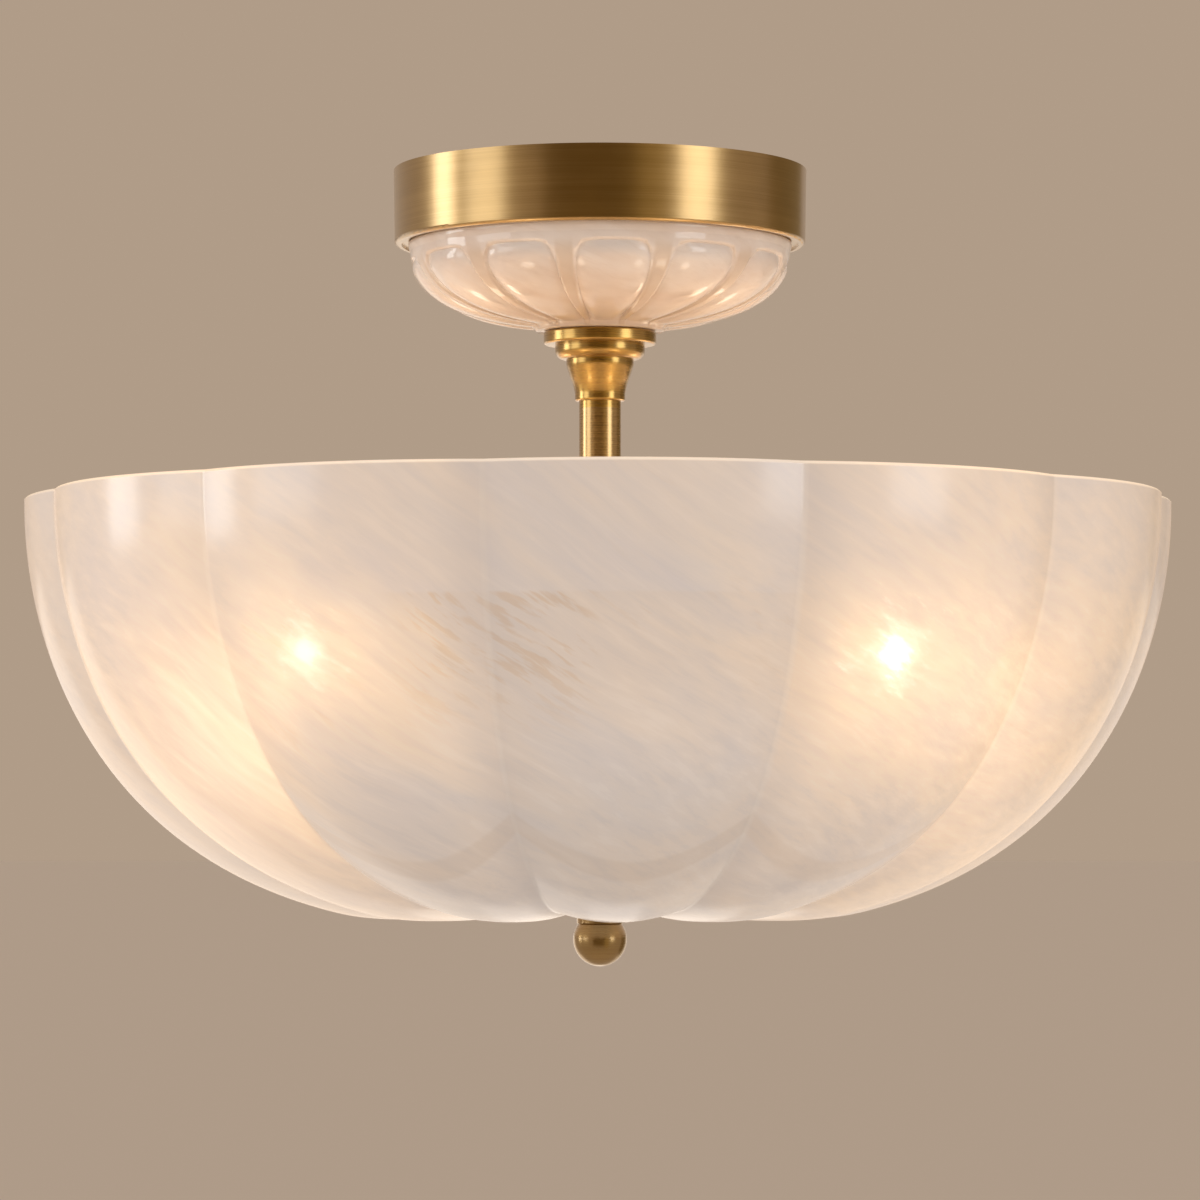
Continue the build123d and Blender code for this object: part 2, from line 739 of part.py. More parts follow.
def stone_bowl():
    """Bowl of twelve lobes that meet in creases, faced flat above and below round the rod hole."""
    ridge = bowl_ridge()
    sections = []
    for share in (-1, -0.66, -0.33, 0, 0.33, 0.66, 1):
        sections.append(Rot(0, 0, lobe_half_angle * share) * bowl_section(ridge, abs(share)))
    lobe = loft(sections)
    lobes = [Rot(0, 0, lobe_phase + 2 * lobe_half_angle * i) * lobe for i in range(lobe_count)]
    body = lobes[0].fuse(*lobes[1:])
    body += disc(bowl_seat_radius, bowl_seat_z, bowl_floor_z)
    body -= disc(bowl_seat_radius, bowl_floor_z, bowl_floor_z + bowl_wall)
    body -= disc(bowl_seat_radius, bowl_seat_z - bowl_wall, bowl_seat_z)
    return body - disc(bowl_hole_radius, bowl_seat_z - bowl_wall, bowl_floor_z + bowl_wall)


# Rod, washers and finial

def hanging_rod():
    """Threaded pipe that carries the bowl from the hub."""
    return tube(pipe_radius, pipe_bore, rod_bottom_z, terminal_bottom_z)


def rod_nuts():
    """Nuts above and below the hub's cover, and the stop nut over the bowl's floor."""
    nuts = [
        hex_nut(nut_across_flats, pipe_hole, hub_bottom_z, nut_height),
        hex_nut(nut_across_flats, pipe_hole, hub_cover_z - nut_height, nut_height),
        hex_nut(nut_across_flats, pipe_hole, steel_washer_top_z, nut_height),
    ]
    return Compound(children=nuts)


def steel_washer():
    return tube(washer_radius, pipe_hole, upper_pad_top_z, steel_washer_top_z)


def upper_rubber_washer():
    return tube(washer_radius, pipe_hole, bowl_floor_z, upper_pad_top_z)


def lower_rubber_washer():
    return tube(cup_washer_radius - rubber_inset, pipe_radius + hole_clearance, lower_pad_z, bowl_seat_z)


def cup_washer():
    """Turned brass washer that sits over the top of the ball like a cup."""
    bottom = ball_top_z - cup_washer_skirt
    body = fillet(disc(cup_washer_radius, bottom, lower_pad_z).edges(), cup_washer_rounding)
    cup = Pos(0, 0, ball_centre_z) * Sphere(ball_radius + sliding_clearance)
    cup -= Pos(0, 0, ball_top_z + ball_radius / 2) * Box(3 * ball_radius, 3 * ball_radius, ball_radius)
    return body - cup - disc(pipe_radius + hole_clearance, ball_top_z - cut_margin, lower_pad_z)


def ball_finial():
    ball = Pos(0, 0, ball_centre_z) * Sphere(ball_radius)
    ball -= Pos(0, 0, ball_top_z + ball_radius / 2) * Box(3 * ball_radius, 3 * ball_radius, ball_radius)
    bore_end = ball_top_z - ball_thread_depth
    return ball - disc(pipe_radius + sliding_clearance, bore_end, ball_top_z + cut_margin)


def write(shape, node):
    export_step(shape, f"parts/{node}.step")


single_pieces = [
    ceiling_strap, ground_screw, threaded_nipple, nipple_lock_nuts,
    canopy_ring, dish_gasket, canopy_dish, collar_pad,
    collar_disc, collar_bead, collar_bell, collar_grub_screws,
    stem_tube, stem_top_coupling, stem_bottom_coupling, stem_lock_nut,
    lamp_hub, hub_cover, hub_screws, arm_lock_nuts,
    terminal_block, supply_leads, socket_leads,
    hanging_rod, rod_nuts, steel_washer, upper_rubber_washer,
    stone_bowl, lower_rubber_washer, cup_washer, ball_finial,
]
arm_pieces = [arm_tube, socket_cup, socket_porcelain, screw_shell, bulb_tip, bulb_cap, bulb_glass]

for make in single_pieces:
    write(make(), make.__name__)
for make in arm_pieces:
    name = make.__name__.replace("arm_tube", "arm")
    for number in range(arm_count):
        write(along_arm(make(), number), f"{name}_{number + 1}")
write(Compound(children=[along_arm(socket_contact(), i) for i in range(arm_count)]), "socket_contacts")
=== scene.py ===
from math import cos, exp, hypot, pi, radians, sin

import bpy
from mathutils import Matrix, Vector


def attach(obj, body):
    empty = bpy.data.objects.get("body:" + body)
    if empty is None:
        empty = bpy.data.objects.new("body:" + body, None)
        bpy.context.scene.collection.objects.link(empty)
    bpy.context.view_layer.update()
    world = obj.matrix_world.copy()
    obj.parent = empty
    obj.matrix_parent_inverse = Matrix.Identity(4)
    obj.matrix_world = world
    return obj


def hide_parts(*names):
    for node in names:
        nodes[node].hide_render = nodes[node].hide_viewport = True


# Semi-flush ceiling light: a fluted stone bowl on a brass stem, dressed for the picture.
# Metres, +Z up. The origin is on the ceiling plane, on the stem's axis, and the front is -Y.

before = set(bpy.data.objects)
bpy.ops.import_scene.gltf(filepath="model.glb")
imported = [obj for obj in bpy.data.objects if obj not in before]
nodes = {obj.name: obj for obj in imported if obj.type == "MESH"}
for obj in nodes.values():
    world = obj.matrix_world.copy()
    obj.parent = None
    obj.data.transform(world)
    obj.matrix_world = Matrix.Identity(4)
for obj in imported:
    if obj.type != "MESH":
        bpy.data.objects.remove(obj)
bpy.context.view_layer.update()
bpy.ops.object.select_all(action="DESELECT")

MM = 0.001

# Sizes of the bowl, as in the solid model
BOWL_RADIUS = 300 * MM
BOWL_RIM_Z = -175 * MM
BOWL_DEPTH = 225 * MM
BOWL_POWER = 3
BOWL_SIDE_DEGREES = 72
BOWL_WALL = 7 * MM
RIM_CROWN = 1.6 * MM
RIM_CROWN_POWER = 0.6
BOWL_LOW_RADIUS = 92 * MM
BOWL_LOW_DEPTH = 217.5 * MM
BOWL_SEAT_Z = BOWL_RIM_Z - 210.5 * MM
BOWL_SEAT_RADIUS = 18 * MM
BOWL_SEAT_RISE = 0.4 * MM
BOWL_SEAT_SLOPE = 0.05
BOWL_INNER_RADIUS = 12 * MM
BOWL_HOLE_RADIUS = 6.2 * MM
LOBES = 12
LOBE_PHASE = radians(4.2)
LOBE_CREASE = 8 * MM
CREASE_FADE = 0.45

# Mesh of the bowl. The columns stand closer towards a crease
BOWL_COLUMNS = 28
COLUMN_CROWDING = radians(70)
BOWL_OUTER_ROWS = 66
BOWL_INNER_ROWS = 46
LOW_SIDE_STEPS = 12
FLOOR_STEPS = 24
RIM_STEPS = 6

# Sizes of the dish under the brass ring
DISH_RADIUS = 100.7 * MM
DISH_DEPTH = 45 * MM
DISH_POWER = 2.55
DISH_WALL = 6 * MM
DISH_TOP_Z = -38.6 * MM
DISH_BAND = 7 * MM
BAND_EDGE_Z = DISH_TOP_Z - DISH_BAND * 0.3
DISH_LINE_START = 0.05 * MM
GROOVE_DEPTH = 2.3 * MM
RIB_HALF_ANGLE = radians(2.9)
RIB_RISE = 1.5 * MM
RIB_ROUNDING = 0.36
HUB_RING_RADIUS = 34 * MM
HUB_RING_FILLET = 1.2 * MM
HUB_RING_DROP = 0.8 * MM
HUB_RING_EDGE = ((0.0 * MM, 0.5 * MM), (0.15 * MM, 0.2 * MM), (0.6 * MM, 0.0 * MM))
DISH_HOLE_RADIUS = 11.33 * MM

# Shape of the dish's flutes and ribs, as shares of the way down the dish's outline
RIB_FLARE = radians(2.2)
RIB_FLARE_LENGTH = 0.12
FLUTE_TOP = 0.062
FLUTE_CORNER = 0.075
FLUTE_CORNER_POWER = 4
FLUTE_SHOULDER = 0.10
FLUTE_POWER = 3.0
GROOVE_FADE_LENGTH = 0.12
GROOVE_FADE_PAST = 0.02
GROOVE_FADE_POWER = 0.6

# Mesh of the dish
DISH_LINE_STEPS = 100
DISH_LINE_ROWS = 120
DISH_ROWS = 60
BAND_ROWS = 12
BAND_BLEND = 0.35
FLUTE_COLUMNS = 22
RIB_COLUMNS = 10
HOLLOW_STEPS = 16

WELD_DISTANCE = 0.01 * MM
SHARP_ANGLE = radians(48)

# Places of the bulbs' globes
BULB_AXIS_Z = -259 * MM
GLOBE_OUT = 204.2 * MM
BULB_SIDE = GLOBE_OUT * cos(pi / 4)

# Heights between which the collar's painted warm reflection, a more orange brass, begins and ends
COLLAR_TOP = (-0.0840, -0.0850)
COLLAR_FOOT = (-0.1255, -0.1245)

# The bowl's stone: slant of its veins, and pairs of places between which a tone comes in, mostly painted
# light and shade: glow through the wall below the hub's painted shadow line, shade by the creases and
# the floor, a highlight along each crease
BOWL_SLANT = radians(-33)
VEINS_BACKLIT_BELOW = (-0.225, -0.250)
BACKLIT_BELT_FOOT = (-0.330, -0.290)
HUB_SHADOW_LINE = (-0.2345, -0.2365)
LIT_BAND_FOOT = (-0.310, -0.262)
LIT_BAND_SIDES = (0.108, 0.092)
LIT_PATCH_LEFT = (-0.100, -0.078)
LIT_PATCH_RIGHT = (0.004, -0.014)
SIDE_LOBES = (-0.02, 0.02)
FLANK_LOBES = (-0.885, -0.855)
CREASE_SHADE = (0.62, 0.97)
CREASE_HIGHLIGHT = (0.965, 0.995)
FLOOR_SHADE_Z = -0.3665
FLOOR_SHADE_BEND = 0.024
FLOOR_SHADE_EDGE = (0.0060, 0.0035)

# The glow of the bulbs through the bowl
GLOBE_SOFTNESS = 0.011
GLOW_POWER = 3.0
GLOW_STRENGTH = 0.0080
GLOW_CUT = 0.015
SIDE_GLOW = 0.017
SIDE_GLOW_TOP = (-0.215, -0.260)
FRONT_GLOW_FADE = (-0.290, -0.350, 1.0, 0.50)
SIDE_GLOW_RISE = (-0.260, -0.350, 1.06, 1.35)
INSIDE_GLOW = 0.5
RIM_GLOW = (-0.1756, -0.1744)
SPOT_PLACE = (0.140, 0.247, -0.263)
SPOT_POWERS = ((1, -1, 0.66), (-1, -1, 0.50), (1, 1, 0.7), (-1, 1, 0.6))
SPOT_SIZE = 0.0115
HALO_SIZE = 0.058
HALO_FLATTENING = (1.0, 1.0, 1.7)

# The dish's stone
DISH_SLANT = radians(-20)
RIB_TOP = (-0.0450, -0.0535)
RIB_FOOT = (-0.0838, -0.0846)
RIB_EDGE = (0.78, 0.86)
DISH_FOOT_SHADE = (-0.072, -0.085)


# Shader maths

class Value:
    """The output of a shader node. Plain arithmetic on it adds the Math nodes."""

    def __init__(self, finish, socket):
        self.finish = finish
        self.socket = socket

    def maths(self, operation, first, second=0.0):
        return self.finish.node("Math", {"operation": operation}, {0: first, 1: second})

    def __add__(self, other):
        return self.maths("ADD", self, other)

    def __radd__(self, other):
        return self.maths("ADD", other, self)

    def __sub__(self, other):
        return self.maths("SUBTRACT", self, other)

    def __rsub__(self, other):
        return self.maths("SUBTRACT", other, self)

    def __mul__(self, other):
        return self.maths("MULTIPLY", self, other)

    def __rmul__(self, other):
        return self.maths("MULTIPLY", other, self)

    def __truediv__(self, other):
        return self.maths("DIVIDE", self, other)

    def __rtruediv__(self, other):
        return self.maths("DIVIDE", other, self)

    def __pow__(self, other):
        return self.maths("POWER", self, other)

    def __abs__(self):
        return self.maths("ABSOLUTE", self)

    def above(self, limit):
        return self.maths("GREATER_THAN", self, limit)

    def fraction(self):
        return self.maths("FRACT", self)

    def cosine(self):
        return self.maths("COSINE", self)

    def angle_with(self, x):
        """Angle of the point whose y this is."""
        return self.maths("ARCTAN2", self, x)


class Finish:
    """One material with a Principled shader, and the nodes that feed it."""

    def __init__(self, name, **constants):
        self.material = bpy.data.materials.new(name)
        self.material.use_nodes = True
        self.tree = self.material.node_tree
        self.tree.nodes.clear()
        output = self.tree.nodes.new("ShaderNodeOutputMaterial")
        self.shader = self.tree.nodes.new("ShaderNodeBsdfPrincipled")
        self.tree.links.new(self.shader.outputs[0], output.inputs[0])
        for name, value in constants.items():
            self.feed(name.replace("_", " "), value)

    def plug(self, socket, value):
        if isinstance(value, Value):
            self.tree.links.new(value.socket, socket)
        elif isinstance(value, tuple) and len(value) == 3 and socket.type == "RGBA":
            socket.default_value = (*value, 1.0)
        else:
            socket.default_value = value

    def feed(self, name, value):
        self.plug(self.shader.inputs[name], value)

    def node(self, kind, settings=None, inputs=None, output=0):
        """Adds a node: its settings come first, then the values or links of its sockets."""
        made = self.tree.nodes.new("ShaderNode" + kind)
        for name, value in (settings or {}).items():
            if name == "stops":
                fill_ramp(made.color_ramp, value)
            else:
                setattr(made, name, value)
        for name, value in (inputs or {}).items():
            self.plug(made.inputs[name], value)
        return Value(self, made.outputs[output])

    def mix(self, share, first, second):
        return self.node("Mix", {"data_type": "RGBA"}, {0: share, 6: first, 7: second}, 2)

    def tint(self, first, second):
        """Product of two colours."""
        settings = {"data_type": "RGBA", "blend_type": "MULTIPLY"}
        return self.node("Mix", settings, {0: 1.0, 6: first, 7: second}, 2)

    def lighten(self, first, second):
        """Sum of two colours."""
        settings = {"data_type": "RGBA", "blend_type": "ADD"}
        return self.node("Mix", settings, {0: 1.0, 6: first, 7: second}, 2)

    def ramp(self, value, *stops):
        return self.node("ValToRGB", {"stops": stops}, {0: value})

    def span(self, value, low, high, to_low=0.0, to_high=1.0):
        """Value clamped between low and high and spread smoothly over the new range."""
        sockets = {0: value, 1: low, 2: high, 3: to_low, 4: to_high}
        return self.node("MapRange", {"interpolation_type": "SMOOTHSTEP"}, sockets)

    def vector(self, operation, first, second, output=0):
        return self.node("VectorMath", {"operation": operation}, {0: first, 1: second}, output)

    def length(self, vector):
        return self.vector("LENGTH", vector, (0.0, 0.0, 0.0), 1)

    def place(self):
        return self.node("TexCoord", output=3)

    def stretched(self, vector, scale, turn=(0.0, 0.0, 0.0), shift=(0.0, 0.0, 0.0)):
        """Coordinates turned first and scaled after, for grain that runs one way."""
        turned = self.node("Mapping", {"vector_type": "POINT"}, {0: vector, 1: shift, 2: turn})
        return self.vector("MULTIPLY", turned, scale)

    def noise(self, vector, scale=1.0, detail=3.0, roughness=0.5, distortion=0.0):
        sockets = {"Vector": vector, "Scale": scale, "Detail": detail}
        sockets.update({"Roughness": roughness, "Distortion": distortion})
        return self.node("TexNoise", {}, sockets)

    def parts(self, vector):
        split = self.node("SeparateXYZ", {}, {0: vector}).socket.node
        return [Value(self, split.outputs[axis]) for axis in range(3)]

    def joined(self, x, y, z):
        return self.node("CombineXYZ", {}, {0: x, 1: y, 2: z})

    def bump(self, height, strength, distance):
        sockets = {"Strength": strength, "Distance": distance, "Height": height}
        self.feed("Normal", self.node("Bump", {}, sockets))


def fill_ramp(ramp, stops):
    """Puts colour stops, each a position and a colour, on a ramp."""
    while len(ramp.elements) < len(stops):
        ramp.elements.new(0.5)
    for element, (position, colour) in zip(ramp.elements, stops):
        element.position = position
        element.color = (*colour, 1.0)


# Finishes: metals

def turned_brass():
    """Satin brass, brushed round the stem's axis; the collar under the dish is painted more orange, a
    painted reflection of the warm glow from the bowl and dish.
    """
    finish = Finish("turned_brass", Metallic=1.0, Anisotropic=0.55, Anisotropic_Rotation=0.25,
                    Coat_Weight=1.0, Coat_Roughness=0.22)
    place = finish.place()
    x, y, z = finish.parts(place)
    fine = finish.noise(finish.stretched(place, (9.0, 9.0, 4200.0)), detail=4.0, roughness=0.7)
    broad = finish.noise(finish.stretched(place, (5.0, 5.0, 420.0)), detail=2.0)
    cloud = finish.noise(place, scale=26.0, detail=3.0)
    lines = fine * 0.65 + broad * 0.35
    metal = finish.ramp(lines, (0.30, (0.37, 0.240, 0.082)), (0.55, (0.47, 0.315, 0.120)),
                        (0.78, (0.55, 0.385, 0.165)))
    worn = finish.span(cloud, 0.35, 0.72, 0.93, 1.05)
    small_parts = finish.span(z, *COLLAR_TOP)
    # Painted warm reflection: the collar's brass loses half its blue and a little green, as the glow
    # from the bowl and dish would tint it.
    collar = small_parts * finish.span(z, *COLLAR_FOOT)
    wear_and_glow_reflection = finish.joined(worn, worn * (1.0 - collar * 0.08), worn * (1.0 - collar * 0.50))
    finish.feed("Base Color", finish.tint(metal, wear_and_glow_reflection))
    finish.feed("Roughness", (0.24 + lines * 0.14) * (1.0 - small_parts * 0.12))
    finish.bump(lines, 0.10, 0.0002)
    return finish.material


def drawn_brass():
    """Satin brass with its grain along the arms."""
    finish = Finish("drawn_brass", Metallic=1.0)
    x, y, z = finish.parts(finish.place())
    out = (x * x + y * y) ** 0.5
    side = abs(x) - abs(y)
    grain = finish.noise(finish.joined(out * 14.0, side * 1500.0, z * 1500.0), detail=3.0)
    finish.feed("Base Color", finish.mix(grain, (0.40, 0.26, 0.09), (0.52, 0.36, 0.15)))
    finish.feed("Roughness", 0.27 + grain * 0.12)
    finish.bump(grain, 0.08, 0.0002)
    return finish.material


def plated_steel():
    """Zinc-plated steel with faint spangle and rubbed patches."""
    finish = Finish("plated_steel", Metallic=1.0)
    place = finish.place()
    spangle = finish.node("TexVoronoi", {"feature": "F1"}, {"Vector": place, "Scale": 260.0}, 1)
    grain = finish.noise(place, scale=900.0, detail=3.0)
    rubbed = finish.noise(place, scale=60.0, detail=4.0)
    tone = finish.mix(rubbed, (0.46, 0.46, 0.47), (0.66, 0.66, 0.64))
    finish.feed("Base Color", finish.mix(0.08, tone, spangle))
    finish.feed("Roughness", 0.30 + rubbed * 0.18)
    finish.bump(grain, 0.06, 0.0002)
    return finish.material


def green_screw():
    """Green paint with a few chips down to the metal."""
    finish = Finish("green_screw", Metallic=0.6)
    chips = finish.noise(finish.place(), scale=700.0, detail=4.0)
    finish.feed("Base Color", finish.ramp(chips, (0.35, (0.03, 0.20, 0.06)), (0.68, (0.06, 0.33, 0.12)),
                                          (0.80, (0.42, 0.45, 0.40))))
    finish.feed("Roughness", 0.28 + chips * 0.2)
    return finish.material


def shell_brass():
    """Thin pressed brass of the screw shells."""
    finish = Finish("shell_brass", Metallic=1.0)
    grain = finish.noise(finish.place(), scale=420.0, detail=4.0)
    finish.feed("Base Color", finish.mix(grain, (0.60, 0.42, 0.17), (0.76, 0.58, 0.28)))
    finish.feed("Roughness", 0.2 + grain * 0.15)
    return finish.material


def cap_metal():
    """Nickel-plated screw cap of the bulb."""
    finish = Finish("cap_metal", Metallic=1.0)
    grain = finish.noise(finish.place(), scale=520.0, detail=4.0)
    finish.feed("Base Color", finish.mix(grain, (0.60, 0.59, 0.57), (0.76, 0.75, 0.72)))
    finish.feed("Roughness", 0.18 + grain * 0.18)
    finish.bump(grain, 0.04, 0.0001)
    return finish.material


def contact_solder():
    """Dull lumpy solder of the bulb's contact tip."""
    finish = Finish("contact_solder", Metallic=1.0)
    lumps = finish.noise(finish.place(), scale=800.0, detail=3.0)
    finish.feed("Base Color", finish.mix(lumps, (0.42, 0.42, 0.43), (0.62, 0.61, 0.60)))
    finish.feed("Roughness", 0.3 + lumps * 0.25)
    finish.bump(lumps, 0.25, 0.0003)
    return finish.material


# Finishes: rubber, plastic, porcelain and leads

def black_rubber():
    """Matt black rubber with a fine grain."""
    finish = Finish("black_rubber")
    grain = finish.noise(finish.place(), scale=1400.0, detail=3.0)
    finish.feed("Base Color", finish.mix(grain, (0.014, 0.014, 0.015), (0.04, 0.039, 0.038)))
    finish.feed("Roughness", 0.62 + grain * 0.25)
    finish.bump(grain, 0.3, 0.0002)
    return finish.material


def clear_silicone():
    """Milky soft ring between brass and stone."""
    finish = Finish("clear_silicone")
    haze = finish.noise(finish.place(), scale=500.0, detail=3.0)
    finish.feed("Base Color", finish.mix(haze, (0.60, 0.50, 0.40), (0.70, 0.61, 0.51)))
    finish.feed("Roughness", 0.35 + haze * 0.2)
    return finish.material


def terminal_plastic():
    """Cream plastic of the terminal block."""
    finish = Finish("terminal_plastic")
    grain = finish.noise(finish.place(), scale=1100.0, detail=2.0)
    finish.feed("Base Color", finish.mix(grain, (0.66, 0.63, 0.55), (0.74, 0.71, 0.64)))
    finish.feed("Roughness", 0.38 + grain * 0.12)
    finish.bump(grain, 0.12, 0.0001)
    return finish.material


def porcelain():
    """White glaze with a soft orange-peel surface and a few specks."""
    finish = Finish("porcelain", Coat_Weight=0.5, Coat_Roughness=0.06)
    place = finish.place()
    peel = finish.noise(place, scale=240.0, detail=2.0)
    specks = finish.noise(place, scale=1500.0, detail=2.0)
    glaze = finish.ramp(specks, (0.24, (0.42, 0.36, 0.29)), (0.31, (0.80, 0.79, 0.76)),
                        (0.8, (0.86, 0.85, 0.82)))
    finish.feed("Base Color", glaze)
    finish.feed("Roughness", 0.16 + peel * 0.10)
    finish.bump(peel, 0.15, 0.0003)
    return finish.material


BLACK_LEAD = (0.02, 0.02, 0.02)
WHITE_LEAD = (0.72, 0.71, 0.68)
GREEN_LEAD = (0.04, 0.26, 0.07)


def lead_insulation(name, colours, splits):
    """Plastic insulation. Each split is a mask, and the next colour takes over where it is 1."""
    finish = Finish(name)
    place = finish.place()
    x, y, z = finish.parts(place)
    colour = colours[0]
    for mask, other in zip(splits(finish, x, y), colours[1:]):
        colour = finish.mix(mask, colour, other)
    grain = finish.noise(place, scale=900.0, detail=2.0)
    tone = finish.span(grain, 0.3, 0.7, 0.9, 1.0)
    finish.feed("Base Color", finish.tint(colour, finish.joined(tone, tone, tone)))
    finish.feed("Roughness", 0.34 + grain * 0.14)
    return finish.material


def supply_colours(finish, x, y):
    """Masks that part the black, white and green leads by their place round the axis."""
    return [x.above(0.4 * MM), y.above(0.4 * MM)]


def pair_colours(finish, x, y):
    """Mask that parts the two leads of one arm."""
    side = (abs(y) - abs(x)) * x * y
    return [side.above(0.0)]


# Finishes: frosted glass and stone

def frosted_glass():
    """Bulb glass, frosted inside, brightest over the globe and warmer at the neck."""
    finish = Finish("frosted_glass", Emission_Strength=4.4)
    place = finish.place()
    x, y, z = finish.parts(place)
    out = (x * x + y * y) ** 0.5
    frost = finish.noise(place, scale=160.0, detail=3.0)
    lit = finish.span(out, 0.150, 0.190) * (0.94 + frost * 0.12)
    glow = finish.ramp(lit, (0.0, (0.30, 0.15, 0.05)), (0.45, (0.78, 0.50, 0.24)),
                       (1.0, (1.0, 0.83, 0.62)))
    finish.feed("Base Color", finish.mix(frost, (0.80, 0.78, 0.74), (0.88, 0.87, 0.84)))
    finish.feed("Emission Color", glow)
    finish.feed("Roughness", 0.30 + frost * 0.2)
    return finish.material


def stone_veins(finish, place, size, slant):
    """Clouds, streaks and flecks of the stone, each about 0.5, for grain that slants one way."""
    turn = (0.0, slant, 0.0)
    sway = finish.noise(place, scale=7.0 / size, detail=2.0)
    wander = finish.node("TexNoise", {}, {"Vector": place, "Scale": 6.0 / size, "Detail": 2.0}, 1)
    drift = finish.node("VectorMath", {"operation": "SCALE"}, {0: wander, "Scale": 0.03 * size})
    swayed = finish.vector("ADD", place, drift)
    clouds = finish.noise(finish.stretched(swayed, (1.0, 2.0, 3.2), turn), scale=6.0 / size,
                          detail=4.0, roughness=0.55, distortion=0.3)
    streaks = finish.noise(finish.stretched(swayed, (0.9, 3.0, 9.0), turn), scale=22.0 / size,
                           detail=4.0, roughness=0.62)
    flecks = finish.noise(finish.stretched(swayed, (1.0, 2.5, 6.5), turn, (0.3, 0.1, 0.2)),
                          scale=34.0 / size, detail=3.0, roughness=0.6)
    return clouds, streaks, flecks, sway


def angle_round(x, y):
    """Angle of a point round the stem's axis, from the ridge of the first lobe."""
    return y.angle_with(x) - LOBE_PHASE


def lobe_share(angle):
    """How far a point is from the middle of its lobe or flute, 0, to the crease or rib, 1."""
    turns = angle / (2 * pi / LOBES) + 0.5
    return abs(turns.fraction() - 0.5) * 2.0


def bowl_masks(finish, angle):
    """Where the side lobes, the front and rear lobes, and the outer ones among those are."""
    quarter = (angle * 2.0).cosine()
    side = finish.span(quarter, *SIDE_LOBES)
    front = 1.0 - side
    return side, front, front * finish.span(quarter, *FLANK_LOBES)


def bowl_colour(finish, veins, place, angle):
    """Colour of the bowl's stone: clouds, streaks and tan flecks, with painted light through the wall
    below the hub's painted shadow line, painted shade by the creases and the floor, and a painted
    highlight along each crease.
    """
    clouds, streaks, flecks, sway = veins
    x, y, z = finish.parts(place)
    side, front, flank = bowl_masks(finish, angle)
    share = lobe_share(angle)
    # Painted light: below the hub's painted shadow line the bulbs shine through the wall, so the stone's
    # own pale and grey streaks are painted about twice as strong there.
    low = finish.span(z, *VEINS_BACKLIT_BELOW)
    pale = finish.ramp(clouds, (0.32, (0.735, 0.690, 0.690)), (0.46, (0.775, 0.712, 0.680)),
                       (0.58, (0.815, 0.728, 0.665)), (0.72, (0.835, 0.725, 0.640)))
    bright = finish.span(streaks, 0.52, 0.68) * finish.span(low, 0.0, 1.0, 0.16, 0.32)
    veined = finish.mix(bright, pale, (0.885, 0.820, 0.770))
    cool = finish.span(streaks, 0.49, 0.34) * finish.span(low, 0.0, 1.0, 0.12, 0.22)
    veined = finish.mix(cool, veined, (0.640, 0.605, 0.615))
    # Painted light through the wall: a backlit belt with more of the stone's tan flecks, a lit band
    # under the hub's painted shadow line that is warmer in its middle, and a patch in it where the
    # flecks show strongly.
    backlit_belt = low * finish.span(z, *BACKLIT_BELT_FOOT)
    lit_band = finish.span(z, *HUB_SHADOW_LINE) * finish.span(z, *LIT_BAND_FOOT)
    lit_patch = lit_band * finish.span(x, *LIT_PATCH_LEFT) * finish.span(x, *LIT_PATCH_RIGHT)
    stray_flecks = finish.span(flecks, 0.585, 0.70) * finish.span(sway, 0.44, 0.60)
    lit_patch_flecks = finish.span(flecks, 0.50, 0.62) * lit_patch
    tan = stray_flecks * (backlit_belt * 0.12 + 0.05) + lit_patch_flecks * 0.55
    stone = finish.mix(tan * 0.75, veined, (0.62, 0.42, 0.26))
    middle = finish.span(abs(x), *LIT_BAND_SIDES)
    stone = finish.mix(lit_band * middle * 0.16, stone, (0.74, 0.60, 0.47))
    # Painted shade: grey beside each crease, strongest on the outer front and rear lobes.
    edge = finish.span(share, *CREASE_SHADE) * (flank * 0.70 + 0.18)
    stone = finish.mix(edge * 0.42, stone, (0.60, 0.560, 0.555))
    # Painted shade: a darker band where the bowl's floor begins, bending up towards the creases, on the
    # front and rear lobes.
    floor_shade = finish.span(abs(z - FLOOR_SHADE_Z - share * share * FLOOR_SHADE_BEND), *FLOOR_SHADE_EDGE)
    stone = finish.mix(floor_shade * front * 0.26, stone, (0.62, 0.50, 0.41))
    # Painted highlight: a pale line along each crease.
    return finish.mix(finish.span(share, *CREASE_HIGHLIGHT) * 0.18, stone, (0.93, 0.86, 0.78))


